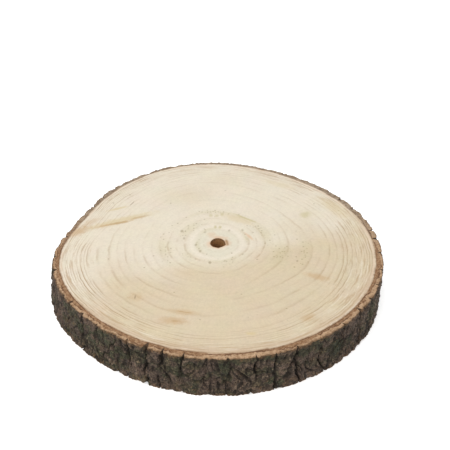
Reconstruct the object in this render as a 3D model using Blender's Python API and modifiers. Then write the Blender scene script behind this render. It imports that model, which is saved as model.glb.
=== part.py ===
"""Wood slice: a round sawn straight across the stem of a young broadleaved tree.

It is two bodies. The disc of wood has its hollow pith open right through it.
The ring of bark is grown on all round the disc, and its outer side is split
into plates by upright fissures. The slice lies on its sawn underside, and the
middle of that side is the origin.
"""

import math
import random

import bmesh
import bpy
import numpy as np
from mathutils import Matrix, Vector, noise

# The slice as a whole, in metres
THICKNESS = 0.039
LEAN = 0.0010  # how far the stem leans to -X between the top face and the underside
BODY_GAP = 0.0003  # clearance between the disc and the ring
COLUMNS = 400  # steps round both bodies

# Lobes of an outline: how many there are round it, how far they stand out, and
# the bearing in degrees of one crest, counted from +X
WOOD_RADIUS = 0.1425
WOOD_LOBES = (
    (1, 0.0029, -78),
    (2, 0.0023, -79),
    (3, 0.0018, -28),
    (4, 0.0017, 11),
    (5, 0.0005, -33),
)
DENT_DEPTH = 0.0042  # hollow in the outline where a branch was overgrown
DENT_BEARING = 162
DENT_WIDTH = 15  # degrees to either side
BARK_DEPTH = 0.0058
BARK_LOBES = (
    (1, 0.0020, -82),
)
FLARE = 0.0040  # how far the bark swells outwards at the foot of one side
FLARE_BEARING = 186
FLARE_WIDTH = 21  # degrees to either side

# The hollow pith, off the middle of the disc
PITH_CENTRE = (0.0, 0.0058)
PITH_RADIUS = 0.0072
PITH_LOBES = (
    (2, 0.0003, 90),
    (3, 0.0003, -62),
)
PITH_COLUMNS = 24

# Bark plates. The fissures between them cut the rim at these bearings along the
# front of the slice, and at seeded ones round the rest of it
FRONT_FISSURES = (
    201, 213, 220.5, 228, 235, 242, 247.5, 252, 258.5, 266, 274,
    281.5, 287.5, 293, 303, 313, 321.5, 330, 337, 346, 356,
)
OTHER_FISSURES = 27
FISSURE_WANDER = 1.6  # degrees that a seeded fissure strays from its even place
FISSURE_DEPTH = 0.42  # of the bark's depth
FISSURE_HALF_WIDTH = 0.0023
CROSS_CRACK_DEPTH = 0.5  # of a fissure's depth, where one plate stands on another
PLATE_LIFT = 0.0005  # how far a plate stands out or in from its neighbours
PLATE_LEVELS = (0.033, 0.005)  # heights of the middles of two plates, one over the other
PLATE_MIDDLE = 0.019  # height of the middle of a plate that runs the whole thickness
PLATE_SPLIT_SHARE = 0.6  # of the columns of plates, those with two plates
PLATE_STRAY = (2.2, 0.005)  # how far a plate's middle strays: degrees, and metres of height
UPRIGHT_STRETCH = 0.38  # heights count this much when plates share out the bark
CRACK_WAVE = 0.0014  # how far the fissures weave from side to side
CRACK_WAVE_LENGTH = 0.011
BULGE = 0.0008  # slow swelling of the whole bark
BULGE_LENGTH = 0.030
BARK_ROWS = 8  # points down the outer side of the bark
SEED = 20

WOOD_COLOUR = (0.74, 0.60, 0.41, 1.0)
BARK_COLOUR = (0.075, 0.058, 0.045, 1.0)


def lobed(radius, lobes, bearing):
    """Return the radius of a lobed outline at a bearing in radians."""
    for count, height, crest in lobes:
        radius = radius + height * np.cos(count * (bearing - math.radians(crest)))
    return radius


def swelling(bearing, crest, width):
    """Return 1 at the crest's bearing, falling smoothly to 0 past the width, in degrees."""
    turn = np.mod(bearing - math.radians(crest) + math.pi, 2 * math.pi) - math.pi
    return np.exp(-((turn / math.radians(width)) ** 2))


def wood_reach(bearing):
    """Return how far the wood reaches at a bearing, with the overgrown branch's dent."""
    dent = DENT_DEPTH * swelling(bearing, DENT_BEARING, DENT_WIDTH)
    return lobed(WOOD_RADIUS, WOOD_LOBES, bearing) - dent


def bark_depth(bearing, height):
    """Return how deep the bark is, before its plates and fissures."""
    flare = FLARE * swelling(bearing, FLARE_BEARING, FLARE_WIDTH)
    return lobed(BARK_DEPTH, BARK_LOBES, bearing) + flare * (1 - height / THICKNESS)


def fissure_bearings():
    """Return the bearings in degrees where fissures cut the rim, in order."""
    rng = random.Random(SEED)
    first, last = FRONT_FISSURES[0], FRONT_FISSURES[-1]
    step = (first + 360 - last) / (OTHER_FISSURES + 1)
    others = [
        last + step * (i + 1) + rng.uniform(-FISSURE_WANDER, FISSURE_WANDER)
        for i in range(OTHER_FISSURES)
    ]
    return list(FRONT_FISSURES) + others


def bark_plates():
    """Return the plates' middles, as bearings and heights, and their lifts."""
    rng = random.Random(SEED + 1)
    fissures = fissure_bearings()
    plates = []
    for left, right in zip(fissures, fissures[1:] + [fissures[0] + 360]):
        middle = (left + right) / 2
        heights = PLATE_LEVELS if rng.random() < PLATE_SPLIT_SHARE else (PLATE_MIDDLE,)
        for height in heights:
            stray = rng.uniform(-1, 1) if height == PLATE_LEVELS[1] else 0
            plates.append((
                math.radians(middle + stray * PLATE_STRAY[0]),
                height + rng.uniform(-1, 1) * PLATE_STRAY[1],
                rng.uniform(-1, 1) * PLATE_LIFT,
            ))
    return np.array(plates)


def smooth_noise(bearing, height, length, offset):
    """Return noise of about -1 to 1 that meets itself again round the stem."""
    across = WOOD_RADIUS / length
    return np.array([
        noise.noise(Vector((across * math.cos(b) + offset, across * math.sin(b), h / length)))
        for b, h in zip(bearing, height)
    ])


def bark_relief(bearing, height):
    """Return how far the bark's outer side stands out at each point.

    Each point belongs to the plate whose middle is nearest, with heights
    counted short so that the plates are tall. The fissure between two plates
    is a V along the line that is equally near to both.
    """
    plates = bark_plates()
    weave = CRACK_WAVE * smooth_noise(bearing, height, CRACK_WAVE_LENGTH, 5.0)
    turn = bearing[:, None] + weave[:, None] / WOOD_RADIUS - plates[None, :, 0]
    across = WOOD_RADIUS * (np.mod(turn + math.pi, 2 * math.pi) - math.pi)
    up = UPRIGHT_STRETCH * (height[:, None] - plates[None, :, 1])
    square = across**2 + up**2
    order = np.argsort(square, axis=1)[:, :2]
    rows = np.arange(len(bearing))
    own, other = order[:, 0], order[:, 1]
    run = across[rows, own] - across[rows, other]
    rise = UPRIGHT_STRETCH * (up[rows, own] - up[rows, other])
    span = np.hypot(run, rise)
    from_crack = (square[rows, other] - square[rows, own]) / (2 * span)
    upright = np.abs(run) / span
    share = FISSURE_DEPTH * (CROSS_CRACK_DEPTH + (1 - CROSS_CRACK_DEPTH) * upright)
    cut = share * bark_depth(bearing, height) * np.clip(1 - from_crack / FISSURE_HALF_WIDTH, 0, 1)
    bulge = BULGE * smooth_noise(bearing, height, BULGE_LENGTH, 9.0)
    return plates[own, 2] + bulge - cut


def lean_over(mesh):
    """Shift a body sideways by height, as the stem leant when it was sawn."""
    slope = LEAN / THICKNESS
    mesh.transform(Matrix.Shear("XY", 4, (slope, 0)) @ Matrix.Translation((0, 0, -THICKNESS)))
    mesh.transform(Matrix.Translation((0, 0, THICKNESS)))


def solid_from(source, name, material, collection):
    """Turn an object with its modifiers into one closed mesh object."""
    bpy.context.view_layer.update()
    evaluated = source.evaluated_get(bpy.context.evaluated_depsgraph_get())
    mesh = bpy.data.meshes.new_from_object(evaluated)
    mesh.name = name
    mesh.transform(source.matrix_world)
    bpy.data.objects.remove(source)
    shape = bmesh.new()
    shape.from_mesh(mesh)
    bmesh.ops.remove_doubles(shape, verts=shape.verts, dist=0.000001)
    bmesh.ops.recalc_face_normals(shape, faces=shape.faces)
    shape.to_mesh(mesh)
    shape.free()
    mesh.materials.clear()
    mesh.materials.append(material)
    body = bpy.data.objects.new(name, mesh)
    collection.objects.link(body)
    return body


def closed_line(curve, points):
    """Add a closed straight-sided line to a flat curve."""
    line = curve.splines.new("POLY")
    line.points.add(len(points) - 1)
    for point, (x, y) in zip(line.points, points):
        point.co = (x, y, 0, 1)
    line.use_cyclic_u = True


def outline(reach_at, count, centre=(0, 0)):
    """Return the points of an outline, evenly turned round its centre."""
    points = []
    for i in range(count):
        bearing = 2 * math.pi * i / count
        reach = reach_at(bearing)
        points.append((centre[0] + reach * math.cos(bearing), centre[1] + reach * math.sin(bearing)))
    return points


def pith_reach(bearing):
    """Return how far the hollow pith reaches from its own middle at a bearing."""
    return lobed(PITH_RADIUS, PITH_LOBES, bearing)


def make_wood(material, collection):
    """Make the disc: the outline of the wood with the pith's outline inside it."""
    curve = bpy.data.curves.new("wood_outline", "CURVE")
    curve.dimensions = "2D"
    curve.fill_mode = "BOTH"
    curve.extrude = THICKNESS / 2
    closed_line(curve, outline(wood_reach, COLUMNS))
    closed_line(curve, outline(pith_reach, PITH_COLUMNS, PITH_CENTRE))
    flat = bpy.data.objects.new("wood_outline", curve)
    flat.location.z = THICKNESS / 2
    collection.objects.link(flat)
    wood = solid_from(flat, "wood", material, collection)
    lean_over(wood.data)
    return wood


def make_bark(material, collection):
    """Make the ring: a turned strip, fitted to the wood and raised into plates."""
    inner, outer = WOOD_RADIUS, WOOD_RADIUS + BARK_DEPTH
    shape = bmesh.new()
    corners = [
        shape.verts.new((outer, 0, THICKNESS * (1 - i / (BARK_ROWS - 1))))
        for i in range(BARK_ROWS)
    ]
    corners.append(shape.verts.new((inner, 0, 0)))
    corners.append(shape.verts.new((inner, 0, THICKNESS)))
    for start, end in zip(corners, corners[1:] + corners[:1]):
        shape.edges.new((start, end))
    profile = bpy.data.meshes.new("bark_profile")
    shape.to_mesh(profile)
    shape.free()
    strip = bpy.data.objects.new("bark_profile", profile)
    collection.objects.link(strip)
    turn = strip.modifiers.new("turn", "SCREW")
    turn.angle = 2 * math.pi
    turn.steps = COLUMNS
    turn.render_steps = COLUMNS
    turn.use_merge_vertices = True
    turn.merge_threshold = 0.00001
    bark = solid_from(strip, "bark", material, collection)

    places = np.array([vertex.co for vertex in bark.data.vertices])
    bearing = np.arctan2(places[:, 1], places[:, 0])
    share = (np.hypot(places[:, 0], places[:, 1]) - inner) / (outer - inner)
    depth = bark_depth(bearing, places[:, 2]) + bark_relief(bearing, places[:, 2])
    reach = wood_reach(bearing) + BODY_GAP + share * (depth - BODY_GAP)
    for vertex, r, b in zip(bark.data.vertices, reach, bearing):
        vertex.co.x = r * math.cos(b)
        vertex.co.y = r * math.sin(b)
    lean_over(bark.data)
    return bark


def make_material(name, colour, roughness):
    """Make a plain material of one colour."""
    material = bpy.data.materials.new(name)
    material.use_nodes = True
    shader = material.node_tree.nodes["Principled BSDF"]
    shader.inputs["Base Color"].default_value = colour
    shader.inputs["Roughness"].default_value = roughness
    shader.inputs["Metallic"].default_value = 0.0
    material.diffuse_color = colour
    return material


def box_middle(bodies):
    """Return the middle of the box that holds all the bodies."""
    places = np.array([vertex.co for body in bodies for vertex in body.data.vertices])
    return (places.min(axis=0) + places.max(axis=0)) / 2


for old in list(bpy.data.objects):
    bpy.data.objects.remove(old)

slice_collection = bpy.data.collections.new("wood_slice")
bpy.context.scene.collection.children.link(slice_collection)

wood_body = make_wood(make_material("wood", WOOD_COLOUR, 0.65), slice_collection)
bark_body = make_bark(make_material("bark", BARK_COLOUR, 0.9), slice_collection)

# The middle of the whole slice's box stands over the origin
slice_middle = box_middle((wood_body, bark_body))
slice_root = bpy.data.objects.new("wood_slice", None)
slice_root.location = (-slice_middle[0], -slice_middle[1], 0)
slice_collection.objects.link(slice_root)
for slice_body in (wood_body, bark_body):
    slice_body.parent = slice_root
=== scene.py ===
"""The looks of the wood slice: sanded wood with its rings, and rough bark."""

import math
import random

import bmesh
import bpy
import numpy as np
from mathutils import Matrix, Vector, noise


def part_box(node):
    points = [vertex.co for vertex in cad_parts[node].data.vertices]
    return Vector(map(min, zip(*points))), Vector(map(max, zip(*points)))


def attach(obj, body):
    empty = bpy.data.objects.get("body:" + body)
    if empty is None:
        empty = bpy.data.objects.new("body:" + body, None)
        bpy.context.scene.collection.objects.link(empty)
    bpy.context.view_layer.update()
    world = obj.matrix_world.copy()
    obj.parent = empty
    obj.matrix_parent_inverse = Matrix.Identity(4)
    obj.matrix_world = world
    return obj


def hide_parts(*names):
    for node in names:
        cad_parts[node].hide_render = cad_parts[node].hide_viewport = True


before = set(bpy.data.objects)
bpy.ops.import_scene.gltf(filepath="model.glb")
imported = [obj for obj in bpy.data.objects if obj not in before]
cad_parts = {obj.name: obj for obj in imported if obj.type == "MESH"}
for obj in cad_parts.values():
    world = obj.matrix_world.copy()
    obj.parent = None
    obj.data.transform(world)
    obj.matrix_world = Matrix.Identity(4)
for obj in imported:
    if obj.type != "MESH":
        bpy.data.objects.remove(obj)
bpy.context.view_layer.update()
bpy.ops.object.select_all(action="DESELECT")

# The disc of wood is one round of the stem, sawn across and sanded flat on both
# faces. Its pith has dried away and left a small rough hole right through it. The
# rim follows the stem's own outline, hollowed where a lost branch was overgrown.
WOOD_RADIUS = 0.1425
WOOD_LOBES = (
    (1, 0.0029, -78),
    (2, 0.0023, -79),
    (3, 0.0018, -28),
    (4, 0.0017, 11),
    (5, 0.0005, -33),
)
DENT = (162, 15, 0.0042)  # bearing and width in degrees, and depth
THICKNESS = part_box("wood")[1].z
LEAN = 0.0010
PITH_CENTRE = (0.0, 0.0058)
PITH_RADIUS = 0.0069
PITH_LOBES = (
    (2, 0.0003, 90),
    (3, 0.0002, -30),
)
PITH_NICKS = (
    (-23, 13, 0.0006),
    (-86, 11, 0.0007),
)
PITH_ROUGHNESS = 0.0005
# Layers of noise: size, length, offset and stretch upwards
PITH_GRAIN = ((1.0, 0.016, 3.0, 4.0), (1.0, 0.050, 7.0))
PITH_STAIN = 0.0035  # how far from the hole the wood is stained
CROWDING = 1.25  # above 1, the disc's strips lie closer together near the pith
WOOD_STEPS = 400
WOOD_CUTS = {"hole": 16, "rim": 1, "top": 66, "underside": 66}

# Rings, as the age at which each ends and how clear it is. Ages run from 0 at the
# pith to 1 at the bark. A clear side shows its rings best.
RINGS = (
    (0.050, 0.15), (0.100, 0.18), (0.175, 0.32), (0.230, 0.24), (0.285, 0.38), (0.340, 0.10),
    (0.392, 0.12), (0.450, 0.26), (0.510, 0.12), (0.570, 0.32), (0.630, 0.12), (0.690, 0.36),
    (0.742, 0.26), (0.790, 0.46), (0.814, 0.55), (0.850, 0.80), (0.876, 1.00), (0.892, 0.45),
    (0.910, 0.60), (0.926, 0.50), (0.942, 0.60), (0.958, 0.55), (0.975, 1.00),
)
# The stem grew more on some sides than on others in some years: each row has a bearing
# in degrees, and how far out the rings of six ages lie there, as shares of the way to
# the bark.
LAID_AGES = (0.440, 0.560, 0.682, 0.786, 0.847, 0.874)
LAID_RINGS = (
    (0, 0.420, 0.583, 0.694, 0.788, 0.848, 0.871),
    (24, 0.430, 0.544, 0.694, 0.784, 0.848, 0.876),
    (36, 0.444, 0.536, 0.686, 0.782, 0.847, 0.876),
    (60, 0.469, 0.573, 0.682, 0.793, 0.850, 0.878),
    (96, 0.496, 0.603, 0.742, 0.802, 0.856, 0.880),
    (120, 0.495, 0.607, 0.725, 0.780, 0.845, 0.880),
    (144, 0.493, 0.598, 0.710, 0.777, 0.852, 0.884),
    (168, 0.467, 0.592, 0.702, 0.806, 0.845, 0.882),
    (180, 0.451, 0.572, 0.677, 0.824, 0.855, 0.886),
    (192, 0.447, 0.565, 0.672, 0.826, 0.866, 0.889),
    (216, 0.449, 0.576, 0.686, 0.834, 0.862, 0.887),
    (240, 0.438, 0.552, 0.699, 0.832, 0.866, 0.889),
    (264, 0.424, 0.532, 0.674, 0.830, 0.858, 0.886),
    (288, 0.412, 0.511, 0.635, 0.819, 0.848, 0.874),
    (312, 0.374, 0.515, 0.629, 0.798, 0.842, 0.876),
    (336, 0.389, 0.563, 0.677, 0.787, 0.845, 0.875),
)
RING_SMOOTHING = 7  # degrees each way
RING_SHADE = 0.42
CLEAR_SIDES = (  # bearing and width in degrees, and how much clearer
    (196, 24, 0.58),
    (332, 34, 0.58),
    (230, 16, 0.35),
    (16, 22, 0.32),
)
PALE_RING = (0.095, 0.128, 0.160)  # ages where a paler ring starts, peaks and ends
WARM_SIDE = (0.5, -0.87, 0)  # the way towards the warmer wood

LIGHT_WOOD = (232, 221, 200)
WARM_WOOD = (219, 202, 172)
RING_BROWN = (178, 150, 114)
GROWTH_LINE = (188, 158, 122)
PALE_LINE = (240, 230, 212)
HEART_GREEN = (224, 220, 198)
PORE_BROWN = (140, 122, 84)
RIM_PINK = (203, 177, 148)
NEW_WOOD = (232, 209, 184)
RIM_BROWN = (158, 126, 96)
PITH_BROWN = (174, 128, 82)
PITH_EDGE = (162, 124, 82)
STAIN_TAN = (200, 165, 120)
STAIN_BROWN = (182, 143, 90)
STAIN_YELLOW = (216, 194, 144)
STAIN_OLIVE = (190, 178, 118)
STAIN_PINK = (224, 188, 154)
STAIN_GREY = (150, 128, 100)
LIGHT_LEVEL = 1.17  # how brightly the studio lights a flat face, so that tones match


def tone(shade):
    """Return the colour that shows as a tone of 0 to 255 in the studio's light."""
    part = [value / 255 for value in shade]
    linear = [v / 12.92 if v <= 0.04045 else ((v + 0.055) / 1.055) ** 2.4 for v in part]
    return [v / LIGHT_LEVEL for v in linear] + [1.0]


def lobed(radius, lobes, bearing):
    """Return the radius of a lobed outline at a bearing in radians."""
    for count, height, crest in lobes:
        radius = radius + height * np.cos(count * (bearing - math.radians(crest)))
    return radius


def swelling(bearing, crest, width):
    """Return 1 at the crest's bearing, falling smoothly to 0 past the width, in degrees."""
    turn = np.mod(bearing - math.radians(crest) + math.pi, 2 * math.pi) - math.pi
    return np.exp(-((turn / math.radians(width)) ** 2))


def wood_reach(bearing):
    """Return how far the wood reaches at a bearing."""
    return lobed(WOOD_RADIUS, WOOD_LOBES, bearing) - DENT[2] * swelling(bearing, *DENT[:2])


def pith_reach(bearing):
    """Return how far the hole of the pith reaches from its own middle."""
    reach = lobed(PITH_RADIUS, PITH_LOBES, bearing)
    for crest, width, height in PITH_NICKS:
        reach = reach + height * swelling(bearing, crest, width)
    return reach


def ring_age(bearing, share):
    """Return the age of the wood at a bearing and a share of the way to the bark."""
    laid = np.array(LAID_RINGS)
    whole = np.arange(361)
    turns = range(-RING_SMOOTHING, RING_SMOOTHING + 1)
    low_place, low_age, age = 0.0, 0.0, np.zeros(len(share))
    for places, high_age in zip(laid.T[1:], LAID_AGES):
        ring = np.interp(whole[:360], laid[:, 0], places, period=360)
        ring = np.mean([np.roll(ring, turn) for turn in turns], axis=0)
        place = np.interp(np.degrees(bearing) % 360, whole, np.append(ring, ring[0]))
        age += (high_age - low_age) * np.clip((share - low_place) / (place - low_place), 0, 1)
        low_place, low_age = place, high_age
    return age + (1 - low_age) * np.clip((share - low_place) / (1 - low_place), 0, 1)


def cut_side(ring, near, far, cuts):
    """Cut one side of a ring into strips, between its circle near one corner and its far one."""
    bpy.ops.mesh.select_all(action="DESELECT")
    shape = bmesh.from_edit_mesh(ring.data)
    for edge in shape.edges:
        ends = [(math.hypot(v.co.x, v.co.y), v.co.z) for v in edge.verts]
        for one, other in (ends, ends[::-1]):
            if math.dist(one, near) < 1e-5 and math.dist(other, far) < 1e-5:
                edge.select_set(True)
    bmesh.update_edit_mesh(ring.data)
    bpy.ops.mesh.subdivide(number_cuts=cuts)


def turned_ring(name, inner, outer, height, steps, cuts):
    """Spin an upright rectangle into a closed ring, and cut its four sides into strips."""
    width = outer - inner
    bpy.ops.mesh.primitive_plane_add(
        size=1, location=(inner + width / 2, 0, height / 2), rotation=(math.pi / 2, 0, 0)
    )
    ring = bpy.context.object
    ring.name = name
    ring.scale = (width, height, 1)
    bpy.ops.object.transform_apply(location=True, rotation=True, scale=True)
    bpy.ops.object.mode_set(mode="EDIT")
    bpy.ops.mesh.select_mode(type="EDGE")
    bpy.ops.mesh.select_all(action="SELECT")
    bpy.ops.mesh.delete(type="ONLY_FACE")
    bpy.ops.mesh.select_all(action="SELECT")
    bpy.ops.mesh.spin(steps=steps, angle=2 * math.pi, center=(0, 0, 0), axis=(0, 0, 1))
    bpy.ops.mesh.select_all(action="SELECT")
    bpy.ops.mesh.remove_doubles(threshold=0.00001)
    corners = {
        "hole": ((inner, 0), (inner, height)),
        "rim": ((outer, 0), (outer, height)),
        "underside": ((inner, 0), (outer, 0)),
        "top": ((inner, height), (outer, height)),
    }
    for side, count in cuts.items():
        cut_side(ring, *corners[side], count)
    bpy.ops.mesh.select_all(action="SELECT")
    bpy.ops.mesh.normals_make_consistent(inside=False)
    bpy.ops.object.mode_set(mode="OBJECT")
    return ring


def vertex_places(mesh):
    """Return the places of a mesh's vertices as rows of x, y and z."""
    places = np.empty(len(mesh.vertices) * 3)
    mesh.vertices.foreach_get("co", places)
    return places.reshape(-1, 3)


def place_vertices(mesh, places):
    """Move a mesh's vertices."""
    mesh.vertices.foreach_set("co", places.ravel())
    mesh.update()


def keep_values(mesh, name, values):
    """Keep one value for each vertex, for the material to read."""
    mesh.attributes.new(name, "FLOAT", "POINT").data.foreach_set("value", values)


def smooth_noise(bearing, height, length, offset, rise=1.0):
    """Return noise of about -1 to 1 that meets itself again round the stem."""
    across = WOOD_RADIUS / length
    up = 1 / (length * rise)
    return np.array([
        noise.noise(Vector((across * math.cos(b) + offset, across * math.sin(b), h * up)))
        for b, h in zip(bearing, height)
    ])


def summed_noise(bearing, height, layers):
    """Return layers of noise added up, each with a size, length, offset and stretch."""
    return sum(size * smooth_noise(bearing, height, *layer) for size, *layer in layers)


def make_wood():
    """Turn the disc, and draw it out to the pith's hole and the stem's outline."""
    inner, outer = PITH_RADIUS, WOOD_RADIUS
    disc = turned_ring("wood_disc", inner, outer, THICKNESS, WOOD_STEPS, WOOD_CUTS)
    places = vertex_places(disc.data)
    height = places[:, 2].copy()
    bearing = np.arctan2(places[:, 1], places[:, 0])
    share = np.clip((np.hypot(places[:, 0], places[:, 1]) - inner) / (outer - inner), 0, 1)
    share = share**CROWDING
    on_wall = share < 1e-6
    inside_wall = on_wall & (height > 1e-5) & (height < THICKNESS - 1e-5)
    hole = pith_reach(bearing)
    rough = summed_noise(bearing, height, PITH_GRAIN)
    hole = hole + np.where(inside_wall, PITH_ROUGHNESS * (rough - 0.4), 0)
    rim = wood_reach(bearing)
    for axis, turned in ((0, np.cos(bearing)), (1, np.sin(bearing))):
        start = PITH_CENTRE[axis] + hole * turned
        places[:, axis] = start + share * (rim * turned - start)
    places[:, 0] -= LEAN * (1 - height / THICKNESS)
    age = ring_age(bearing, share)
    clear = RING_SHADE + sum(
        height_of * swelling(bearing, crest, width) for crest, width, height_of in CLEAR_SIDES
    )
    away = share * (rim - hole)
    open_pores = np.zeros(len(share))
    for crest, centre, width, depth, height_of in PORE_BELTS:
        inside = np.exp(-(((age - centre) / depth) ** 2))
        open_pores = np.maximum(open_pores, height_of * swelling(bearing, crest, width) * inside)
    place_vertices(disc.data, places)
    keep_values(disc.data, "age", age)
    keep_values(disc.data, "open_pores", open_pores)
    keep_values(disc.data, "clear", np.clip(clear, 0, 1))
    keep_values(disc.data, "hollow", np.clip(1 - away / PITH_STAIN, 0, 1))
    keep_values(disc.data, "wall", np.where(on_wall, 1.0, 0.0))
    return disc


def put(tree, kind, inputs=(), **settings):
    """Add a shader node, set it up, and fill or link its inputs by name or number."""
    made = tree.nodes.new("ShaderNode" + kind)
    for name, value in settings.items():
        setattr(made, name, value)
    for key, value in dict(inputs).items():
        if isinstance(value, bpy.types.NodeSocket):
            tree.links.new(value, made.inputs[key])
        else:
            made.inputs[key].default_value = value
    return made


def maths(tree, operation, *values):
    """Return the outcome of a sum on numbers or sockets."""
    return put(tree, "Math", enumerate(values), operation=operation).outputs[0]


def times(tree, one, other):
    """Return the product of two values."""
    return maths(tree, "MULTIPLY", one, other)


def step_between(tree, value, low, high, start=0.0, end=1.0):
    """Return a smooth step from start to end as a value goes from low to high."""
    fields = {"Value": value, "From Min": low, "From Max": high, "To Min": start, "To Max": end}
    return put(tree, "MapRange", fields, interpolation_type="SMOOTHSTEP").outputs[0]


def noise_at(tree, place, scale, detail=2.0, roughness=0.5, output="Fac"):
    """Return noise of 0 to 1 at a place, or the colour of three noises there."""
    fields = {"Vector": place, "Scale": scale, "Detail": detail, "Roughness": roughness}
    return put(tree, "TexNoise", fields).outputs[output]


def noise_between(tree, place, scale, detail, low, high, roughness=0.5):
    """Return noise at a place, spread from low to high."""
    grains = noise_at(tree, place, scale, detail, roughness)
    return maths(tree, "MULTIPLY_ADD", grains, high - low, low)


def in_patches(tree, place, scale, detail, low, high, start=0.0, end=1.0, roughness=0.5):
    """Return a smooth step from start to end where noise goes from low to high."""
    grains = noise_at(tree, place, scale, detail, roughness)
    return step_between(tree, grains, low, high, start, end)


def kept_value(tree, name):
    """Return a value that the mesh keeps for the material."""
    return put(tree, "Attribute", attribute_name=name).outputs["Fac"]


def scaled(tree, place, factors):
    """Return a place with its three parts scaled."""
    return put(tree, "VectorMath", {0: place, 1: factors}, operation="MULTIPLY").outputs[0]


def blended(tree, share, under, over, mode="MIX"):
    """Return one colour laid over another by a share."""
    fields = {0: share, 6: under, 7: over}
    return put(tree, "Mix", fields, data_type="RGBA", blend_type=mode).outputs[2]


def curve_of(tree, value, points):
    """Return a value read off a curve of straight stretches through points."""
    node = put(tree, "FloatCurve", {1: value})
    line = node.mapping.curves[0]
    for index, (x, y) in enumerate(points):
        point = line.points[index] if index < 2 else line.points.new(x, y)
        point.location = (x, y)
        point.handle_type = "VECTOR"
    node.mapping.update()
    return node.outputs[0]


def sloped(tree, value, stops):
    """Return a value read off a ramp of greys."""
    node = put(tree, "ValToRGB", {0: value})
    elements = node.color_ramp.elements
    while len(elements) < len(stops):
        elements.new(0.5)
    for element, (place, grey) in zip(elements, stops):
        element.position = place
        element.color = (grey, grey, grey, 1)
    return node.outputs[0]


def build_fine_specks():
    """Build the grain of fine light and dark specks that both the wood and the bark have."""
    group = bpy.data.node_groups.new("fine_specks", "ShaderNodeTree")
    group.interface.new_socket("Colour", in_out="INPUT", socket_type="NodeSocketColor")
    group.interface.new_socket("Place", in_out="INPUT", socket_type="NodeSocketVector")
    for name in ("Scale", "Detail", "Roughness", "Contrast", "Level"):
        group.interface.new_socket(name, in_out="INPUT", socket_type="NodeSocketFloat")
    group.interface.new_socket("Colour", in_out="OUTPUT", socket_type="NodeSocketColor")
    given = group.nodes.new("NodeGroupInput").outputs
    grains = noise_at(group, given["Place"], given["Scale"], given["Detail"], given["Roughness"])
    spread = maths(group, "MULTIPLY", maths(group, "SUBTRACT", grains, 0.5), given["Contrast"])
    shade = maths(group, "ADD", spread, given["Level"])
    specked = blended(group, 1.0, given["Colour"], shade, "MULTIPLY")
    group.links.new(specked, group.nodes.new("NodeGroupOutput").inputs["Colour"])
    return group


fine_specks = build_fine_specks()


def specked(tree, colour, place, scale, detail, roughness, contrast, level):
    """Return a colour with fine specks on it."""
    fields = {
        "Colour": colour,
        "Place": place,
        "Scale": scale,
        "Detail": detail,
        "Roughness": roughness,
        "Contrast": contrast,
        "Level": level,
    }
    return put(tree, "Group", fields, node_tree=fine_specks).outputs["Colour"]


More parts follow.
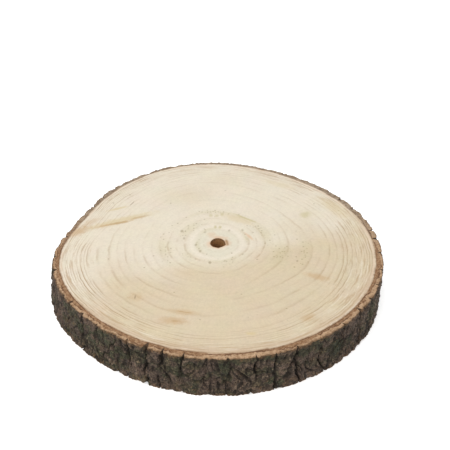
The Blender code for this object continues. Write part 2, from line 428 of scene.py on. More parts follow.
# Marks on the top face: x and y in metres from the middle of the outline, half
# length, half width, bearing in degrees, colour and strength
WOOD_MARKS = (
    (-0.0930, 0.0420, 0.0420, 0.0062, 24, STAIN_YELLOW, 0.60),
    (-0.0925, 0.0390, 0.0150, 0.0024, 18, STAIN_BROWN, 0.66),
    (-0.0735, 0.0485, 0.0130, 0.0021, 23, STAIN_BROWN, 0.44),
    (-0.1060, 0.0345, 0.0110, 0.0022, 22, STAIN_TAN, 0.60),
    (-0.1290, 0.0250, 0.0150, 0.0080, 38, STAIN_TAN, 0.66),
    (-0.1190, 0.0400, 0.0150, 0.0050, 46, STAIN_TAN, 0.35),
    (-0.0950, 0.0635, 0.0130, 0.0022, 25, STAIN_YELLOW, 0.60),
    (-0.0820, 0.0725, 0.0060, 0.0006, 64, STAIN_GREY, 0.80),
    (-0.0370, -0.1060, 0.0150, 0.0062, -6, STAIN_TAN, 0.55),
    (-0.0350, -0.1062, 0.0050, 0.0016, -6, STAIN_BROWN, 0.40),
    (-0.0290, -0.0945, 0.0165, 0.0050, -10, STAIN_TAN, 0.42),
    (-0.0290, -0.0942, 0.0095, 0.0009, -14, STAIN_BROWN, 0.55),
    (-0.0705, -0.0733, 0.0090, 0.0080, 0, STAIN_TAN, 0.34),
    (-0.0705, -0.0733, 0.0040, 0.0010, 85, STAIN_GREY, 0.70),
    (0.0865, -0.0460, 0.0140, 0.0056, -24, STAIN_TAN, 0.56),
    (0.0827, 0.0515, 0.0075, 0.0058, 50, STAIN_OLIVE, 0.44),
    (0.0707, -0.0227, 0.0014, 0.0012, 0, STAIN_GREY, 0.80),
    (0.0747, -0.1027, 0.0090, 0.0056, 30, STAIN_TAN, 0.45),
    (0.0267, -0.1227, 0.0055, 0.0030, 0, STAIN_YELLOW, 0.60),
    (0.0290, 0.0157, 0.0085, 0.0020, -60, STAIN_PINK, 0.75),
    (0.0088, 0.0062, 0.0056, 0.0046, 100, STAIN_PINK, 0.50),
    (0.0080, 0.0066, 0.0062, 0.0023, 98, PITH_EDGE, 0.95),
    (-0.0055, 0.0190, 0.0056, 0.0060, 20, STAIN_PINK, 0.42),
    (0.0020, 0.0145, 0.0090, 0.0030, -8, STAIN_PINK, 0.60),
    (-0.0085, 0.0030, 0.0060, 0.0026, 95, STAIN_PINK, 0.42),
    (-0.0022, 0.0318, 0.0032, 0.0019, 90, STAIN_OLIVE, 0.60),
    (0.0022, 0.0312, 0.0032, 0.0019, 90, STAIN_OLIVE, 0.55),
    (-0.0065, 0.0510, 0.0034, 0.0024, 90, STAIN_OLIVE, 0.42),
    (-0.0010, 0.0505, 0.0034, 0.0024, 90, STAIN_OLIVE, 0.38),
    (0.0042, 0.0528, 0.0034, 0.0024, 90, STAIN_OLIVE, 0.46),
    (0.0107, 0.0255, 0.0024, 0.0015, 90, PORE_BROWN, 0.40),
    (0.0229, 0.0263, 0.0024, 0.0015, 90, PORE_BROWN, 0.40),
    (-0.0117, 0.0232, 0.0022, 0.0016, 90, PORE_BROWN, 0.35),
    (-0.0159, -0.0071, 0.0024, 0.0013, 90, PORE_BROWN, 0.45),
    (-0.0200, 0.0028, 0.0024, 0.0014, 90, PORE_BROWN, 0.40),
    (-0.0308, 0.0134, 0.0024, 0.0013, 90, PORE_BROWN, 0.45),
    (-0.0330, 0.0250, 0.0030, 0.0018, 90, PORE_BROWN, 0.55),
    (-0.0070, -0.0245, 0.0028, 0.0017, 90, PORE_BROWN, 0.55),
    (0.0205, 0.0440, 0.0200, 0.0068, -30, STAIN_YELLOW, 0.40),
    (0.0270, 0.0455, 0.0170, 0.0016, -36, STAIN_OLIVE, 0.50),
    (0.1110, 0.0640, 0.0240, 0.0100, -56, STAIN_YELLOW, 0.40),
    (0.0620, 0.1050, 0.0240, 0.0060, -28, STAIN_YELLOW, 0.25),
)

# Broad patches where the wood is warmer or, below 0, paler: x and y in metres, half
# length, half width, bearing in degrees and how much
TONE_PATCHES = (
    (-0.0880, -0.0400, 0.0340, 0.0300, 90, 0.40),
    (-0.0660, -0.0800, 0.0520, 0.0330, 135, 0.70),
    (-0.0190, -0.0350, 0.0360, 0.0180, 4, 0.55),
    (-0.0260, 0.0860, 0.0420, 0.0260, 18, 0.42),
    (0.0070, 0.1140, 0.0320, 0.0150, -6, 0.32),
    (0.1100, 0.0330, 0.0260, 0.0300, 0, -0.75),
    (0.0630, 0.0100, 0.0280, 0.0180, 10, -0.50),
    (0.0410, -0.0790, 0.0300, 0.0140, 10, 0.30),
)

# Belts of open pores: bearing and age of the middle, their half widths, and clearness
PORE_BELTS = (
    (20, 0.300, 22, 0.040, 1.0),
    (18, 0.160, 12, 0.014, 1.0),
    (92, 0.300, 44, 0.014, 0.9),
    (112, 0.110, 22, 0.014, 1.0),
    (140, 0.200, 26, 0.030, 0.8),
    (190, 0.085, 34, 0.014, 0.9),
    (190, 0.315, 22, 0.040, 0.8),
    (215, 0.180, 14, 0.030, 0.8),
    (280, 0.150, 32, 0.016, 1.0),
    (290, 0.190, 20, 0.030, 0.7),
    (346, 0.420, 16, 0.060, 0.8),
    (350, 0.535, 14, 0.030, 0.8),
)


def away_from(tree, place, x, y, length, width, turn):
    """Return how far a place is from a long patch's middle, as 1 at the patch's edge."""
    fields = {
        "Vector": place,
        "Location": (x, y, 0),
        "Rotation": (0, 0, math.radians(turn)),
        "Scale": (length, width, 1000),
    }
    spot = put(tree, "Mapping", fields, vector_type="TEXTURE").outputs[0]
    return put(tree, "VectorMath", {0: spot}, operation="LENGTH").outputs["Value"]


def marks_on(tree, place, rough, colour, top_side):
    """Lay the marks of the top face over the wood's colour."""
    for *patch, shade, strength in WOOD_MARKS:
        ragged = maths(tree, "ADD", away_from(tree, place, *patch), rough)
        mask = step_between(tree, ragged, 1.15, 0.25, 0.0, strength)
        colour = blended(tree, times(tree, mask, top_side), colour, tone(shade))
    return colour


def make_wood_material(middle):
    """Make the sanded wood, with its rings, pores, rays, marks and brown pith."""
    material = bpy.data.materials.new("sanded_wood")
    material.use_nodes = True
    tree = material.node_tree
    shader = tree.nodes["Principled BSDF"]
    here = put(tree, "TexCoord").outputs["Object"]
    fields = {"Vector": here, "Location": (-middle[0], -middle[1], 0)}
    place = put(tree, "Mapping", fields, vector_type="POINT").outputs[0]
    age = kept_value(tree, "age")
    hollow = kept_value(tree, "hollow")
    wall = kept_value(tree, "wall")
    clear = kept_value(tree, "clear")
    open_pores = kept_value(tree, "open_pores")

    # Rings: each darkens towards its late wood, which ends in a thin line. They fade
    # in and out on their way round, with finer growth lines between them
    wander = noise_between(tree, place, 26, 3, -0.012, 0.012)
    ripple = noise_between(tree, place, 130, 3, -0.006, 0.006)
    aged = maths(tree, "ADD", maths(tree, "ADD", age, wander), ripple)
    total = len(RINGS) + 1
    points = [(0, 0), (1, 1)] + [(a, (i + 1) / total) for i, (a, _) in enumerate(RINGS)]
    phase = maths(tree, "FRACT", times(tree, curve_of(tree, aged, points), total))
    late_wood = ((0, 0.45), (0.12, 0), (0.45, 0.04), (0.74, 0.2), (0.90, 1), (1, 0.9))
    late = sloped(tree, phase, late_wood)
    weight = curve_of(tree, aged, [(0, 0.5), (1, 0.6)] + list(RINGS))
    fields = {0: place, 1: (*PITH_CENTRE, 0)}
    from_pith = put(tree, "VectorMath", fields, operation="SUBTRACT").outputs[0]
    flat = scaled(tree, from_pith, (1, 1, 0))
    ray = put(tree, "VectorMath", {0: flat}, operation="NORMALIZE").outputs[0]
    inward = put(tree, "CombineXYZ", {"Z": aged}).outputs[0]
    ringwise = put(tree, "VectorMath", {0: ray, 1: inward}, operation="ADD").outputs[0]
    wide = scaled(tree, ringwise, (4.2, 4.2, 13))
    along = in_patches(tree, wide, 1.0, 2, 0.36, 0.64, 0.15, 1.35)
    clearer = maths(tree, "MAXIMUM", clear, step_between(tree, age, 0.86, 0.94, 0.0, 0.85))
    showing = times(tree, clearer, along)
    ring = times(tree, times(tree, late, weight), showing)
    narrow = scaled(tree, ringwise, (6, 6, 75))
    growth_line = maths(tree, "SUBTRACT", noise_at(tree, narrow, 1.0, 3, 0.6), 0.5)
    by_age = ((0, 0.20), (0.3, 0.16), (0.7, 0.30), (0.82, 0.60), (0.93, 1))
    lines_by_age = sloped(tree, age, by_age)
    line = times(tree, times(tree, growth_line, lines_by_age), clearer)

    # The heart and one side of the stem are paler than the rest, with faint tints
    fields = {0: place, 1: WARM_SIDE}
    warm_way = put(tree, "VectorMath", fields, operation="DOT_PRODUCT").outputs["Value"]
    drift = noise_between(tree, place, 14, 3, -0.04, 0.04)
    heart = step_between(tree, age, 0.12, 0.38, 0.035, 0.0)
    side = maths(tree, "SUBTRACT", maths(tree, "ADD", warm_way, drift), heart)
    warmth = step_between(tree, side, -0.022, 0.045)
    wavy = times(tree, drift, 6)
    for *patch, amount in TONE_PATCHES:
        away = maths(tree, "ADD", away_from(tree, place, *patch), wavy)
        warmth = maths(tree, "ADD", warmth, step_between(tree, away, 1.15, 0.10, 0.0, amount))
    warmth = put(tree, "Clamp", {0: warmth, 1: -0.3, 2: 1.0}).outputs[0]
    colour = blended(tree, warmth, tone(LIGHT_WOOD), tone(WARM_WOOD))
    tint = noise_at(tree, place, 48, 3, 0.55, output="Color")
    colour = blended(tree, 0.10, colour, tint, "SOFT_LIGHT")
    mottle = noise_between(tree, place, 75, 4, 0.955, 1.045, 0.65)
    colour = blended(tree, 1.0, colour, mottle, "MULTIPLY")
    pale = sloped(tree, aged, ((PALE_RING[0], 0), (PALE_RING[1], 0.6), (PALE_RING[2], 0)))
    colour = blended(tree, pale, colour, tone(PALE_LINE))
    green_heart = sloped(tree, aged, ((0.02, 0), (0.05, 0.5), (0.09, 0.4), (0.12, 0)))
    colour = blended(tree, green_heart, colour, tone(HEART_GREEN))
    fringe = noise_between(tree, place, 60, 3, -0.015, 0.015)
    near_bark = maths(tree, "ADD", age, fringe)
    young = step_between(tree, near_bark, 0.925, 0.985, 0.0, 0.85)
    young = times(tree, young, maths(tree, "MULTIPLY_ADD", warmth, 0.8, 0.2))
    deep = put(tree, "SeparateXYZ", {0: place}).outputs["Y"]
    front = step_between(tree, deep, -0.03, -0.08)
    young = times(tree, young, maths(tree, "MULTIPLY_ADD", front, 0.6, 0.4))
    patchy = in_patches(tree, wide, 2.4, 3, 0.30, 0.62, 0.45, 1.0, roughness=0.6)
    colour = blended(tree, times(tree, young, patchy), colour, tone(RIM_PINK))
    colour = blended(tree, ring, colour, tone(RING_BROWN))
    dark_lines = step_between(tree, line, 0.01, 0.16, 0.0, 0.65)
    colour = blended(tree, dark_lines, colour, tone(GROWTH_LINE))
    pale_lines = step_between(tree, line, -0.02, -0.18, 0.0, 0.50)
    colour = blended(tree, pale_lines, colour, tone(PALE_LINE))
    newest = sloped(tree, age, ((0.974, 0), (0.984, 0.65), (0.990, 0.65), (0.998, 0)))
    showing_there = in_patches(tree, place, 34, 3, 0.36, 0.58, 0.1, 1.0)
    newest = times(tree, newest, showing_there)
    newest = times(tree, newest, maths(tree, "MULTIPLY_ADD", front, -0.8, 1.0))
    colour = blended(tree, newest, colour, tone(NEW_WOOD))

    # Pores are dots in the early wood, most of them in belts round the heart
    dots = put(tree, "TexVoronoi", {"Vector": place, "Scale": 400}, feature="F1")
    dot = step_between(tree, dots.outputs["Distance"], 0.50, 0.12)
    chance = put(tree, "SeparateColor", {0: dots.outputs["Color"]}).outputs[0]
    often = maths(tree, "MULTIPLY_ADD", open_pores, 0.60, 0.003)
    kept = maths(tree, "LESS_THAN", chance, often)
    pores = times(tree, dot, kept)
    colour = blended(tree, times(tree, pores, 0.50), colour, tone(PORE_BROWN))
    tinged = times(tree, open_pores, 0.26)
    colour = blended(tree, tinged, colour, tone(STAIN_OLIVE))

    # Rays are fine pale and dark threads from the heart to the bark
    stretched = scaled(tree, ringwise, (75, 75, 9))
    rays = noise_between(tree, stretched, 1.0, 3, 0.95, 1.05, 0.6)
    colour = blended(tree, 1.0, colour, rays, "MULTIPLY")
    colour = specked(tree, colour, place, 480, 3, 0.75, 0.28, 1.0)

    # Marks, then the brown edge under the bark, and the brown of the pith, with painted shade near
    # the hole's mouth
    rough = noise_between(tree, place, 260, 3, -0.45, 0.45, 0.6)
    high = put(tree, "SeparateXYZ", {0: place}).outputs["Z"]
    top_side = step_between(tree, high, THICKNESS * 0.4, THICKNESS * 0.6)
    colour = marks_on(tree, place, rough, colour, top_side)
    ragged = noise_between(tree, place, 330, 3, -0.011, 0.011, 0.65)
    ragged = maths(tree, "ADD", near_bark, ragged)
    edge = step_between(tree, ragged, 0.991, 1.003, 0.0, 0.9)
    colour = blended(tree, edge, colour, tone(RIM_BROWN))
    halo = times(tree, hollow, noise_at(tree, place, 150, 3))
    colour = blended(tree, step_between(tree, halo, 0.10, 0.6, 0.0, 0.9), colour, tone(STAIN_PINK))
    streaky = scaled(tree, place, (0.4, 0.4, 1.6))
    shade = noise_between(tree, streaky, 420, 4, 0.42, 1.52, 0.65)
    # Painted shade: the pith's wall darkens towards the hole's mouth
    mouth_shade = step_between(tree, high, THICKNESS - 0.0028, THICKNESS - 0.0008, 1.0, 0.55)
    shade = times(tree, shade, mouth_shade)
    brown = blended(tree, 1.0, tone(PITH_BROWN), shade, "MULTIPLY")
    colour = blended(tree, step_between(tree, wall, 0.25, 0.75), colour, brown)
    tree.links.new(colour, shader.inputs["Base Color"])

    fibres = noise_at(tree, place, 1400, 3, 0.6)
    sunk = maths(tree, "ADD", pores, ring)
    relief = maths(tree, "SUBTRACT", times(tree, fibres, 0.5), sunk)
    fields = {"Height": relief, "Strength": 0.5, "Distance": 0.00006}
    tree.links.new(put(tree, "Bump", fields).outputs[0], shader.inputs["Normal"])
    tree.links.new(maths(tree, "MULTIPLY_ADD", fibres, 0.16, 0.55), shader.inputs["Roughness"])
    return material


wood_disc = make_wood()
own = vertex_places(wood_disc.data)
wood_low, wood_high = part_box("wood")
own_middle = (own.min(axis=0) + own.max(axis=0)) / 2
outline_middle = [(wood_low[i] + wood_high[i]) / 2 - own_middle[i] for i in (0, 1)]
place_vertices(wood_disc.data, own + [*outline_middle, 0])
wood_disc.data.shade_smooth()
wood_disc.data.set_sharp_from_angle(angle=math.radians(40))
wood_disc.data.materials.append(make_wood_material(outline_middle))
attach(wood_disc, "root")
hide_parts("wood")
bpy.ops.object.select_all(action="DESELECT")

# The bark is a ring grown on all round the wood. It was sawn through with it, so
# its edge shows reddish bast and tan cork, with crumbled corners. Its outer side is
# dark and weathered, and has split into tall plates as the stem grew.
BARK_DEPTH = 0.0058
BARK_LOBES = (
    (1, 0.0020, -82),
)
FLARE = (186, 21, 0.0040)  # bearing and width in degrees, and depth at the foot
THICK_SIDES = (  # bearing and width in degrees, and depth
    (46, 22, 0.0011),
    (140, 14, 0.0007),
)
FRONT_FISSURES = (
    201, 213, 220.5, 228, 235, 242, 247.5, 252, 258.5, 266, 274,
    281.5, 287.5, 293, 303, 313, 321.5, 330, 337, 346, 356,
)
OTHER_FISSURES = 27
FISSURE_WANDER = 1.6  # degrees
FISSURE_DEPTH = 0.46  # of the bark's depth
FISSURE_HALF_WIDTH = 0.0012
CROSS_CRACK_DEPTH = 0.40
PLATE_LIFT = 0.0005
PLATE_LEVELS = (0.033, 0.005)
PLATE_MIDDLE = 0.019
PLATE_SPLIT_SHARE = 0.6
PLATE_STRAY = (2.2, 0.005)  # degrees, and upwards
PLATE_STRETCH = 0.38  # below 1, patches are taller than wide
SEED = 20
POINTS_AT_ONCE = 6000

FLAKE_SIZE = (0.0050, 0.0068)  # across and up
FLAKE_STRAY = 0.42  # of its size
FLAKE_LIFT = 0.00030
FLAKE_TILT = 0.12  # how steeply a flake can slope
FLAKE_STRETCH = 0.8
FLAKE_CRACK_DEPTH = 0.00060
FLAKE_CRACK_HALF_WIDTH = 0.0006
FLAKE_CRACK_SHADE = 0.5
SPLITS = (  # length, offset, stretch, half width, depth, shade and the strength's offset
    (0.0100, 51.0, 1.9, 0.09, 0.0013, 0.90, 55.0),
    (0.0046, 53.0, 1.7, 0.13, 0.0008, 0.55, 56.0),
)

# Layers of noise that shape the bark: size, length, offset and stretch upwards
CRACK_WAVES = ((0.0014, 0.0110, 5.0), (0.0018, 0.0045, 15.0), (0.0007, 0.0019, 17.0))
CRACK_SLANTS = ((0.0055, 0.0240, 19.0, 0.6),)
CRACK_SHIFTS = ((0.0050, 0.0100, 25.0), (0.0018, 0.0036, 27.0))
FLAKE_WAVES = ((0.0016, 0.0050, 35.0), (0.0007, 0.0020, 39.0))
FLAKE_SHIFTS = ((0.0022, 0.0045, 37.0),)
LUMPS = (
    (0.0008, 0.0300, 9.0),
    (0.0003, 0.0070, 61.0, 1.5),
    (0.0004, 0.0028, 63.0, 2.6),
    (0.0008, 0.0016, 65.0, 1.2),
)
LOOSE_CORK = ((1.0, 0.0080, 81.0), (0.5, 0.0030, 91.0))
# Shares that vary over the bark: level, swing, least, most, and the noise's own values
FISSURE_WIDTHS = (1.1, 1.8, 0.5, 2.2, 0.0070, 21.0, 1.6)
FISSURE_STRENGTHS = (0.60, 1.3, 0.20, 1.15, 0.0140, 33.0, 1.3)
FLAKE_CRACK_STRENGTHS = (0.4, 1.6, 0, 1, 0.0110, 41.0)
SPLIT_STRENGTHS = (0.45, 1.5, 0, 1, 0.0130)

PITS = (0.0032, 71.0, 2.6)  # length, offset and stretch upwards
PIT_START = 0.30
PIT_EDGE = 0.2
PIT_DEPTH = 0.0009
PIT_SHADE = 0.8
FULL_RELIEF_DEPTH = 0.0075  # thinner bark has less relief
LEAST_RELIEF = 0.6
WORN_CORNER = 0.62  # how much of the relief is left at the sawn corners
WORN_HEIGHT = 0.005
RELIEF_UNIT = 0.002  # how far out the material reads as 1
LOOSE_LEVEL = 0.15
CRUMBLE_DEPTH = 0.0014  # how far the sawn corners have crumbled
CRUMBLE_HEIGHT = 0.0022
TORN_DEPTH = 0.0004
TORN_NOISE = (0.0022, 101.0)  # length and offset
CHIPPED_DEPTH = 0.0008
BARK_SEAM = 0.00002  # hair's breadth between the bark and the wood
BARK_STEPS = 1250
BARK_CUTS = {"hole": 1, "rim": 59, "top": 9, "underside": 5}

BAST_DARK = (104, 70, 46)
BAST_BROWN = (142, 104, 72)
CORK_TAN = (174, 138, 104)
CORK_PALE = (199, 165, 131)
BARK_GREYED = (138, 120, 99)
BARK_BLEACHED = (178, 161, 140)
BARK_CHARCOAL = (80, 69, 52)
BARK_GREEN = (59, 61, 42)
BARK_PURPLE = (90, 73, 63)
BARK_RUST = (112, 87, 60)
CORNER_BROWN = (112, 84, 58)
NOTCH_SHADE = (60, 43, 29)
SAPWOOD = (206, 178, 148)
BARK_ASH = (164, 143, 115)
# painted shade for the bark's cracks, fine cracks and low places
CREVICE_SHADE = (37, 30, 21)


def fissure_bearings():
    """Return the bearings in degrees where fissures cut the rim, in order."""
    rng = random.Random(SEED)
    first, last = FRONT_FISSURES[0], FRONT_FISSURES[-1]
    step = (first + 360 - last) / (OTHER_FISSURES + 1)
    others = [
        last + step * (i + 1) + rng.uniform(-FISSURE_WANDER, FISSURE_WANDER)
        for i in range(OTHER_FISSURES)
    ]
    return list(FRONT_FISSURES) + others


def bark_plates():
    """Return the plates' middles, as bearings and heights, and their lifts."""
    rng = random.Random(SEED + 1)
    fissures = fissure_bearings()
    plates = []
    for left, right in zip(fissures, fissures[1:] + [fissures[0] + 360]):
        middle = (left + right) / 2
        heights = PLATE_LEVELS if rng.random() < PLATE_SPLIT_SHARE else (PLATE_MIDDLE,)
        for height in heights:
            stray = rng.uniform(-1, 1) if height == PLATE_LEVELS[1] else 0
            plates.append((
                math.radians(middle + stray * PLATE_STRAY[0]),
                height + rng.uniform(-1, 1) * PLATE_STRAY[1],
                rng.uniform(-1, 1) * PLATE_LIFT,
            ))
    return np.array(plates)


def bark_flakes():
    """Return the flakes' middles, as bearings and heights, their lifts and their two slopes."""
    rng = random.Random(SEED + 2)
    columns = round(2 * math.pi * WOOD_RADIUS / FLAKE_SIZE[0])
    rows = round(THICKNESS / FLAKE_SIZE[1]) + 2
    apart = 2 * math.pi / columns
    return np.array([
        (
            (column + 0.5 * (row % 2) + rng.uniform(-FLAKE_STRAY, FLAKE_STRAY)) * apart,
            (row - 0.5 + rng.uniform(-FLAKE_STRAY, FLAKE_STRAY)) * FLAKE_SIZE[1],
            rng.uniform(-1, 1) * FLAKE_LIFT,
            rng.uniform(-1, 1) * FLAKE_TILT,
            rng.uniform(-1, 1) * FLAKE_TILT,
        )
        for row in range(rows)
        for column in range(columns)
    ])


def nearest_patch(bearing, height, patches, stretch):
    """Return each point's own patch, how far its edge is, and how upright that edge is."""
    own, edge, upright = [], [], []
    for start in range(0, len(bearing), POINTS_AT_ONCE):
        b = bearing[start:start + POINTS_AT_ONCE, None]
        h = height[start:start + POINTS_AT_ONCE, None]
        across = WOOD_RADIUS * (np.mod(b - patches[:, 0] + math.pi, 2 * math.pi) - math.pi)
        up = stretch * (h - patches[:, 1])
        square = across**2 + up**2
        order = np.argpartition(square, 2, axis=1)[:, :3]
        rows = np.arange(len(b))[:, None]
        order = order[rows, np.argsort(square[rows, order], axis=1)]
        rows, first, second = rows[:, 0], order[:, 0], order[:, 1]
        run = across[rows, first] - across[rows, second]
        rise = stretch * (up[rows, first] - up[rows, second])
        span = np.hypot(run, rise)
        own.append(first)
        edge.append((square[rows, second] - square[rows, first]) / (2 * span))
        upright.append(np.abs(run) / span)
    return np.concatenate(own), np.concatenate(edge), np.concatenate(upright)


def bark_depth(bearing, height):
    """Return how deep the bark is, before its plates and fissures."""
    flare = FLARE[2] * swelling(bearing, *FLARE[:2])
    thick = sum(more * swelling(bearing, crest, width) for crest, width, more in THICK_SIDES)
    return lobed(BARK_DEPTH, BARK_LOBES, bearing) + thick + flare * (1 - height / THICKNESS)


def creases(bearing, height, length, offset, stretch, width):
    """Return 1 along cracks that branch and join, about a length apart, and 0 off them."""
    level = smooth_noise(bearing, height, length, offset, stretch)
    return np.clip(1 - np.abs(level) / width, 0, 1)


def varied(bearing, height, level, swing, least, most, *layer):
    """Return a share that swings about a level over the bark, from the least to the most."""
    return np.clip(level + swing * smooth_noise(bearing, height, *layer), least, most)


def plate_fissures(bearing, height):
    """Return each point's plate, its lift, how deep a fissure cuts it, and a notch's share."""
    plates = bark_plates()
    waves = summed_noise(bearing, height, CRACK_WAVES)
    slant = summed_noise(bearing, height - THICKNESS, CRACK_SLANTS) * (1 - height / THICKNESS)
    shift = summed_noise(bearing, height, CRACK_SHIFTS)
    plate, edge, upright = nearest_patch(
        bearing + (waves + slant) / WOOD_RADIUS, height + shift, plates, PLATE_STRETCH
    )
    width = FISSURE_HALF_WIDTH * varied(bearing, height, *FISSURE_WIDTHS)
    strength = varied(bearing, height, *FISSURE_STRENGTHS)
    share = (CROSS_CRACK_DEPTH + (1 - CROSS_CRACK_DEPTH) * upright**2) * strength
    notch = share * np.clip(1 - edge / width, 0, 1)
    return plate, plates[plate, 2], FISSURE_DEPTH * notch * bark_depth(bearing, height), notch


def flake_scales(bearing, height):
    """Return each point's flake, how far it stands out, and the share of a crack round it."""
    flakes = bark_flakes()
    waves = summed_noise(bearing, height, FLAKE_WAVES) / WOOD_RADIUS
    shift = summed_noise(bearing, height, FLAKE_SHIFTS)
    flake, edge, _ = nearest_patch(bearing + waves, height + shift, flakes, FLAKE_STRETCH)
    crack = np.clip(1 - edge / FLAKE_CRACK_HALF_WIDTH, 0, 1)
    crack = crack * varied(bearing, height, *FLAKE_CRACK_STRENGTHS)
    turn = np.mod(bearing - flakes[flake, 0] + math.pi, 2 * math.pi) - math.pi
    rise = height - flakes[flake, 1]
    sloping = flakes[flake, 3] * WOOD_RADIUS * turn + flakes[flake, 4] * rise
    return flake, flakes[flake, 2] + sloping, crack


def bark_relief(bearing, height):
    """Return how far the outer side stands out, how deep in a crack it is for painted shade, and a
    plate's tint.
    """
    plate, lift, cut, notch = plate_fissures(bearing, height)
    flake, scaly, crack = flake_scales(bearing, height)
    relief = lift + scaly - FLAKE_CRACK_DEPTH * crack + summed_noise(bearing, height, LUMPS)
    # How much painted shade the cracks, splits and pits get
    crevice_shade = np.maximum(notch, FLAKE_CRACK_SHADE * crack)
    for length, offset, stretch, half_width, depth, shade, strength_offset in SPLITS:
        split = creases(bearing, height, length, offset, stretch, half_width)
        split = split * varied(bearing, height, *SPLIT_STRENGTHS, strength_offset)
        relief = relief - depth * split
        crevice_shade = np.maximum(crevice_shade, shade * split)
    pit = -PIT_START - smooth_noise(bearing, height, *PITS)
    pit = np.clip(pit / PIT_EDGE, 0, 1)
    relief = relief - PIT_DEPTH * pit
    crevice_shade = np.maximum(crevice_shade, PIT_SHADE * pit)
    thin = np.clip(bark_depth(bearing, height) / FULL_RELIEF_DEPTH, LEAST_RELIEF, 1)
    from_corner = np.minimum(height, THICKNESS - height)
    worn = WORN_CORNER + (1 - WORN_CORNER) * np.clip(from_corner / WORN_HEIGHT, 0, 1)
    tint = np.mod(plate * 0.618 + flake * 0.0137, 1.0)  # a different one for each patch
    return relief * thin * worn - cut, crevice_shade, notch, tint


def make_bark():
    """Turn the ring, fit it round the wood, raise its plates and crumble its corners."""
    inner, outer = WOOD_RADIUS, WOOD_RADIUS + BARK_DEPTH
    ring = turned_ring("bark_ring", inner, outer, THICKNESS, BARK_STEPS, BARK_CUTS)
    places = vertex_places(ring.data)
    height = places[:, 2].copy()
    bearing = np.arctan2(places[:, 1], places[:, 0])
    share = np.clip((np.hypot(places[:, 0], places[:, 1]) - inner) / (outer - inner), 0, 1)
    relief, crevice_shade, notch, tint = bark_relief(bearing, height)
    from_corner = np.minimum(height, THICKNESS - height)
    loose = np.clip(LOOSE_LEVEL + summed_noise(bearing, height, LOOSE_CORK), 0, 1)
    crumble = CRUMBLE_DEPTH * loose * np.clip(1 - from_corner / CRUMBLE_HEIGHT, 0, 1) ** 1.5
    depth = bark_depth(bearing, height) + relief - crumble
    reach = wood_reach(bearing) + BARK_SEAM + share * (depth - BARK_SEAM)
    places[:, 0] = reach * np.cos(bearing) - LEAN * (1 - height / THICKNESS)
    places[:, 1] = reach * np.sin(bearing)
    sawn = (share < 1 - 1e-6) & (share > 1e-6)
    corner = share * share * share
    torn = smooth_noise(bearing + share * 0.05, height, *TORN_NOISE) - 0.4
    torn = (TORN_DEPTH * torn - CHIPPED_DEPTH * loose) * corner
    up_face = height > THICKNESS / 2
    flat_row = from_corner < 1e-6
    places[:, 2] += np.where(flat_row & up_face, np.minimum(torn, 0), 0)
    places[:, 2] -= np.where(flat_row & ~up_face & sawn, np.minimum(torn, 0), 0)
    place_vertices(ring.data, places + [*outline_middle, 0])
    keep_values(ring.data, "depth", share)
    keep_values(ring.data, "sawn", np.where(flat_row, 1.0, 0.0))
    keep_values(ring.data, "crevice_shade", crevice_shade)
    keep_values(ring.data, "relief", relief / RELIEF_UNIT)
    keep_values(ring.data, "notch", notch)
    keep_values(ring.data, "tint", tint)
    keep_values(ring.data, "back", np.clip((np.sin(bearing) + 0.05) * 2, 0, 1))
    return ring


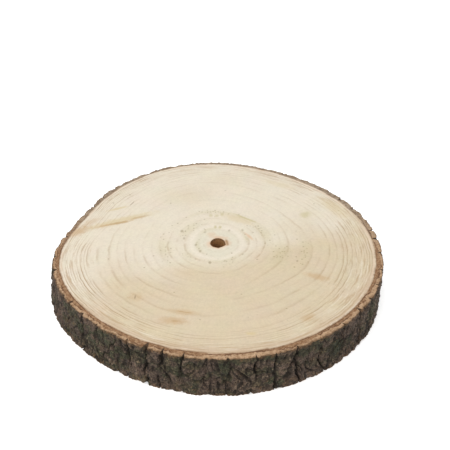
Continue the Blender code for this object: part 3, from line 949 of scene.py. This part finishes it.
def make_bark_material():
    """Make the bark: bast and cork on the sawn faces, weathered plates outside, with painted shade
    in cracks and notches.
    """
    material = bpy.data.materials.new("weathered_bark")
    material.use_nodes = True
    tree = material.node_tree
    shader = tree.nodes["Principled BSDF"]
    place = put(tree, "TexCoord").outputs["Object"]
    depth = kept_value(tree, "depth")
    sawn = kept_value(tree, "sawn")
    crevice_shade = kept_value(tree, "crevice_shade")
    relief = kept_value(tree, "relief")

    # The sawn edge: dark bast next to the wood, then brown and pale cork in layers that
    # thicken and thin on their way round
    back = kept_value(tree, "back")
    swell = noise_between(tree, place, 24, 2, -0.75, 0.75)
    wander = noise_between(tree, place, 110, 4, -0.55, 0.55, 0.65)
    layer = maths(tree, "ADD", maths(tree, "ADD", depth, wander), swell)
    grains = noise_at(tree, place, 380, 4, 0.75)
    brown = blended(tree, step_between(tree, grains, 0.40, 0.58), tone(BAST_BROWN), tone(CORK_TAN))
    pale = blended(tree, step_between(tree, grains, 0.40, 0.54), tone(CORK_TAN), tone(CORK_PALE))
    cut = blended(tree, step_between(tree, layer, 0.42, 0.60), brown, pale)
    seam = maths(tree, "ABSOLUTE", maths(tree, "SUBTRACT", layer, 0.46))
    broken = in_patches(tree, place, 90, 2, 0.40, 0.55, 0.0, 0.85)
    seams = times(tree, step_between(tree, seam, 0.13, 0.03), broken)
    cut = blended(tree, seams, cut, tone(BAST_DARK))
    inner = maths(tree, "MULTIPLY_ADD", wander, 0.25, depth)
    dark_line = step_between(tree, inner, 0.20, 0.05)
    in_places = in_patches(tree, place, 38, 3, 0.42, 0.58, 0.2, 0.85)
    cut = blended(tree, times(tree, dark_line, in_places), cut, tone(BAST_DARK))
    outer = maths(tree, "MULTIPLY_ADD", wander, 0.5, depth)
    cut = blended(tree, step_between(tree, outer, 0.84, 1.0, 0.0, 0.7), cut, tone(CORNER_BROWN))
    flecked = in_patches(tree, place, 210, 4, 0.42, 0.58, roughness=0.7)
    grey = blended(tree, flecked, tone(BARK_GREYED), tone(BARK_BLEACHED))
    cut = blended(tree, times(tree, back, 0.80), cut, grey)
    loose = in_patches(tree, place, 160, 4, 0.48, 0.58, roughness=0.65)
    chips = times(tree, loose, step_between(tree, depth, 0.60, 0.95, 0.0, 0.8))
    cut = blended(tree, chips, cut, tone(CORNER_BROWN))
    # Painted shade on the sawn edge where a fissure's notch cuts into it
    notches = kept_value(tree, "notch")
    notch = maths(tree, "ADD", notches, maths(tree, "MULTIPLY_ADD", depth, 0.9, -0.9))
    cut = blended(tree, step_between(tree, notch, 0.05, 0.40, 0.0, 0.9), cut, tone(NOTCH_SHADE))
    tongue = noise_between(tree, place, 60, 3, -0.46, 0.34, 0.6)
    tongue = maths(tree, "ADD", depth, tongue)
    cut = blended(tree, step_between(tree, tongue, -0.02, -0.12), cut, tone(SAPWOOD))
    cut = specked(tree, cut, place, 560, 4, 0.85, 1.5, 1.0)

    # The weathered side: plates with greenish, purplish and rusty patches, and painted shade in
    # cracks, low places and under the top edge, with painted highlights on ridges
    green = in_patches(tree, place, 42, 3, 0.45, 0.60)
    high = put(tree, "SeparateXYZ", {0: place}).outputs["Z"]
    # Painted shade: a darker, greener band just below the top sawn edge
    raised = maths(tree, "MULTIPLY_ADD", noise_at(tree, place, 60, 3), 0.03, high)
    top_band_shade = step_between(tree, raised, 0.040, 0.054)
    tint = kept_value(tree, "tint")
    green = maths(tree, "MAXIMUM", green, top_band_shade)
    green = maths(tree, "MAXIMUM", green, step_between(tree, tint, 0.70, 0.74, 0.0, 0.7))
    purple = in_patches(tree, place, 46, 3, 0.47, 0.58, roughness=0.6)
    purple = maths(tree, "MAXIMUM", purple, step_between(tree, tint, 0.36, 0.32, 0.0, 0.8))
    rust = in_patches(tree, place, 130, 4, 0.53, 0.68, roughness=0.65)
    ash = in_patches(tree, place, 480, 4, 0.55, 0.66, roughness=0.8)
    foot = step_between(tree, high, 0.018, 0.002, 0.0, 0.10)
    flecks = noise_at(tree, place, 230, 4, 0.75)
    rusty = step_between(tree, maths(tree, "ADD", flecks, foot), 0.61, 0.69, 0.0, 0.60)
    side = blended(tree, green, tone(BARK_CHARCOAL), tone(BARK_GREEN))
    side = blended(tree, times(tree, purple, 0.9), side, tone(BARK_PURPLE))
    side = blended(tree, times(tree, rust, 0.25), side, tone(BARK_RUST))
    own_shade = maths(tree, "FRACT", times(tree, tint, 7.0))
    patches = noise_between(tree, place, 34, 2, 0.20, 1.50)
    patches = maths(tree, "MULTIPLY_ADD", own_shade, 0.28, patches)
    side = blended(tree, 1.0, side, patches, "MULTIPLY")
    # Raised parts turn towards pale ash: weathering, with a painted highlight on the ridges
    worn = step_between(tree, relief, 0.0, 0.9, 0.0, 0.22)
    side = blended(tree, worn, side, tone(BARK_ASH))
    proud = step_between(tree, relief, -0.4, 0.6, 0.1, 0.8)
    side = blended(tree, times(tree, ash, proud), side, tone(BARK_ASH))
    side = blended(tree, rusty, side, tone(BARK_RUST))
    # Painted shade in the cracks, fissures, splits and pits
    side = blended(tree, step_between(tree, crevice_shade, 0.1, 0.8, 0.0, 0.85), side, tone(CREVICE_SHADE))
    # Painted shade along fine hairline cracks, in patches
    bend = noise_at(tree, place, 260, 3, 0.6, output="Color")
    fields = {0: bend, 1: (0.0045, 0.0045, 0.0060), 2: place}
    bent = put(tree, "VectorMath", fields, operation="MULTIPLY_ADD").outputs[0]
    tall = scaled(tree, bent, (1, 1, 0.5))
    cells = put(tree, "TexVoronoi", {"Vector": tall, "Scale": 210}, feature="DISTANCE_TO_EDGE")
    hairline = step_between(tree, cells.outputs["Distance"], 0.13, 0.04)
    cracked = in_patches(tree, place, 100, 2, 0.42, 0.58)
    hairline = times(tree, hairline, cracked)
    side = blended(tree, times(tree, hairline, 0.8), side, tone(CREVICE_SHADE))
    # Painted shade where the outer side lies low
    low = step_between(tree, relief, 0.0, -1.3, 0.0, 0.5)
    side = blended(tree, low, side, tone(CREVICE_SHADE))
    near_top = step_between(tree, high, THICKNESS - 0.0045, THICKNESS - 0.0005)
    near_foot = step_between(tree, high, 0.0030, 0.0005, 0.0, 0.7)
    corner = maths(tree, "MAXIMUM", near_top, near_foot)
    browned = in_patches(tree, place, 150, 3, 0.40, 0.62, 0.12, 0.85, roughness=0.6)
    corner = times(tree, corner, browned)
    side = blended(tree, corner, side, tone(CORNER_BROWN))
    side = specked(tree, side, place, 620, 5, 0.88, 5.2, 0.90)

    fray = noise_between(tree, place, 350, 3, -0.4, 0.4, 0.7)
    edge = step_between(tree, maths(tree, "ADD", sawn, fray), 0.35, 0.65)
    colour = blended(tree, edge, side, cut)
    tree.links.new(colour, shader.inputs["Base Color"])
    shader.inputs["Roughness"].default_value = 0.88
    shader.inputs["Specular IOR Level"].default_value = 0.3
    fields = {"Height": noise_at(tree, place, 700, 6, 0.75), "Strength": 1.0, "Distance": 0.0010}
    tree.links.new(put(tree, "Bump", fields).outputs[0], shader.inputs["Normal"])
    return material


bark_ring = make_bark()
bark_ring.data.shade_smooth()
bark_ring.data.set_sharp_from_angle(angle=math.radians(50))
bark_ring.data.materials.append(make_bark_material())
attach(bark_ring, "root")
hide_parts("bark")
bpy.ops.object.select_all(action="DESELECT")

# The studio: a white table lit from within, so that the slice throws no shadow on it,
# soft light from all round and from above, and a camera that looks down on it.
FLOOR_SIZE = 8.0
bpy.ops.mesh.primitive_plane_add(size=FLOOR_SIZE, location=(0, 0, 0))
floor = bpy.context.object
floor.name = "floor"
paper = bpy.data.materials.new("white_paper")
paper.use_nodes = True
paper_shader = paper.node_tree.nodes["Principled BSDF"]
paper_shader.inputs["Base Color"].default_value = (0.93, 0.93, 0.93, 1)
paper_shader.inputs["Roughness"].default_value = 0.9
paper_shader.inputs["Emission Color"].default_value = (1, 1, 1, 1)
paper_shader.inputs["Emission Strength"].default_value = 0.45
floor.data.materials.append(paper)

room = bpy.data.worlds.new("studio")
bpy.context.scene.world = room
room.use_nodes = True
room.node_tree.nodes["Background"].inputs["Color"].default_value = (1, 1, 1, 1)
room.node_tree.nodes["Background"].inputs["Strength"].default_value = 0.85


def add_lamp(name, place, size, power):
    """Hang a square soft light that faces the slice."""
    light = bpy.data.lights.new(name, "AREA")
    light.size = size
    light.energy = power
    lamp = bpy.data.objects.new(name, light)
    lamp.location = place
    lamp.rotation_euler = (-Vector(place)).to_track_quat("-Z", "Y").to_euler()
    bpy.context.scene.collection.objects.link(lamp)


add_lamp("overhead_light", (-0.7, -0.3, 1.9), 1.6, 14)
add_lamp("front_light", (-0.9, -2.0, 0.9), 1.4, 12)

CAMERA_FROM_OUTLINE = (-0.0002, -0.8190, 0.6183)
CAMERA_TILT = 34.154  # degrees down
CAMERA_TURN = 0.473  # degrees to the right
camera_data = bpy.data.cameras.new("camera")
camera_data.sensor_width = 36.0
camera_data.lens = 88.53
camera = bpy.data.objects.new("camera", camera_data)
camera.location = (
    CAMERA_FROM_OUTLINE[0] + outline_middle[0],
    CAMERA_FROM_OUTLINE[1] + outline_middle[1],
    CAMERA_FROM_OUTLINE[2],
)
camera.rotation_euler = (math.radians(90 - CAMERA_TILT), 0, math.radians(-CAMERA_TURN))
bpy.context.scene.collection.objects.link(camera)
bpy.context.scene.camera = camera
bpy.context.scene.view_settings.view_transform = "Standard"
